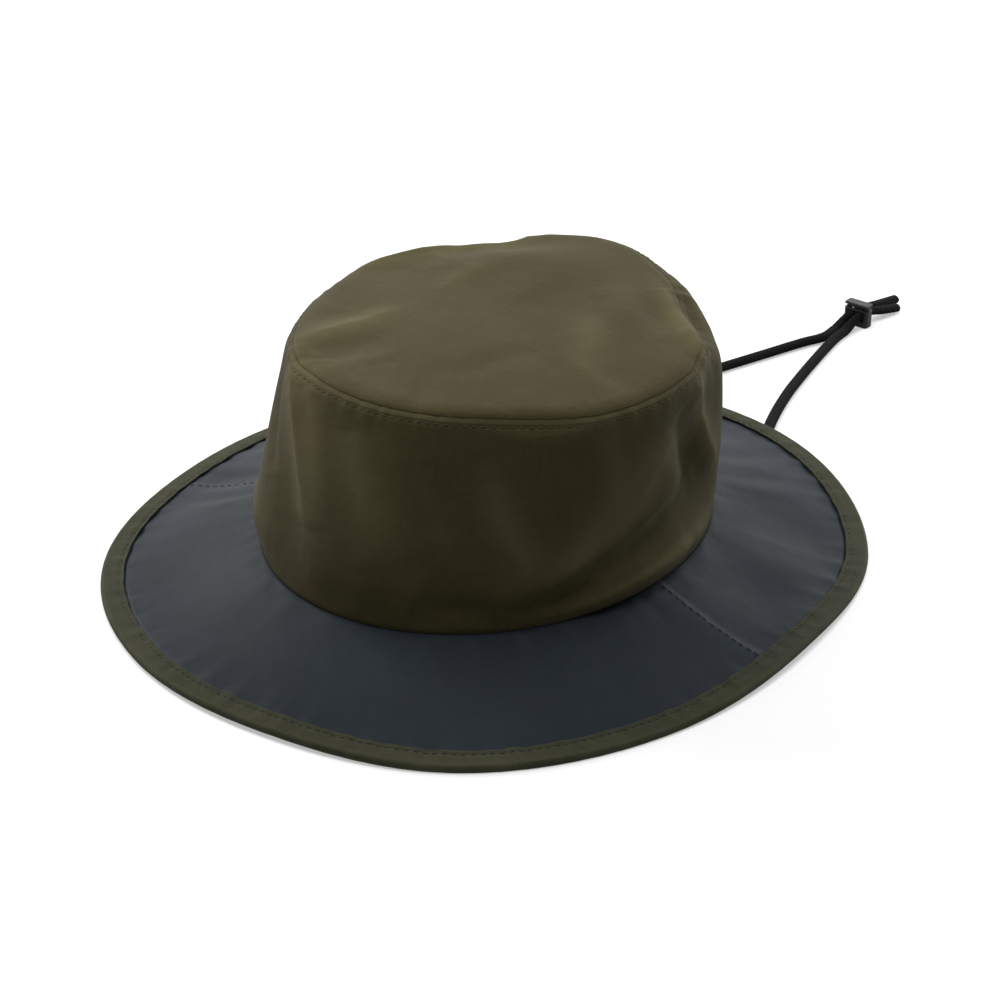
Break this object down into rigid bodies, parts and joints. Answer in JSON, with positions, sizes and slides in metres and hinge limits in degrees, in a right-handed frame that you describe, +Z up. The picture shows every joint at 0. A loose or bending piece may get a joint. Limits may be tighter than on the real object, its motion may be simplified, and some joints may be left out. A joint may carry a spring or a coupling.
{
  "type": "bush hat",
  "caption": "Soft bush hat with a two-piece crown, a wide waved brim with a bound edge, and a chin cord with a spring lock.",
  "frame": {"origin": "on the surface the hat rests on, under the middle of the brim's outline", "axes": "+Z up, -Y toward the front of the hat, +X toward the wearer's left"},
  "size_m": [0.2983, 0.5117, 0.1168],
  "materials": {
    "crown_cloth": "olive woven cloth, matte",
    "brim_cloth": "navy woven cloth with a soft sheen",
    "binding_cloth": "olive binding tape, matte",
    "cord_braid": "charcoal braided cord",
    "lock_plastic": "black moulded plastic"
  },
  "bodies": {
    "hat": {"crown_tip": "crown_cloth", "crown_side": "crown_cloth", "brim": "brim_cloth", "brim_binding": "binding_cloth", "cord_tab_right": "crown_cloth", "cord_tab_left": "crown_cloth", "chin_cord_right": "cord_braid", "chin_cord_left": "cord_braid", "cord_lock_body": "lock_plastic"},
    "lock_button": {"cord_lock_button": "lock_plastic"}
  },
  "joints": [
    {"name": "button_press", "type": "slide", "parent": "hat", "child": "lock_button", "axis": [0, 0, -1], "range_m": [0, 0.0013], "stiffness_N_per_m": 1500, "springref_m": -0.001}
  ]
}
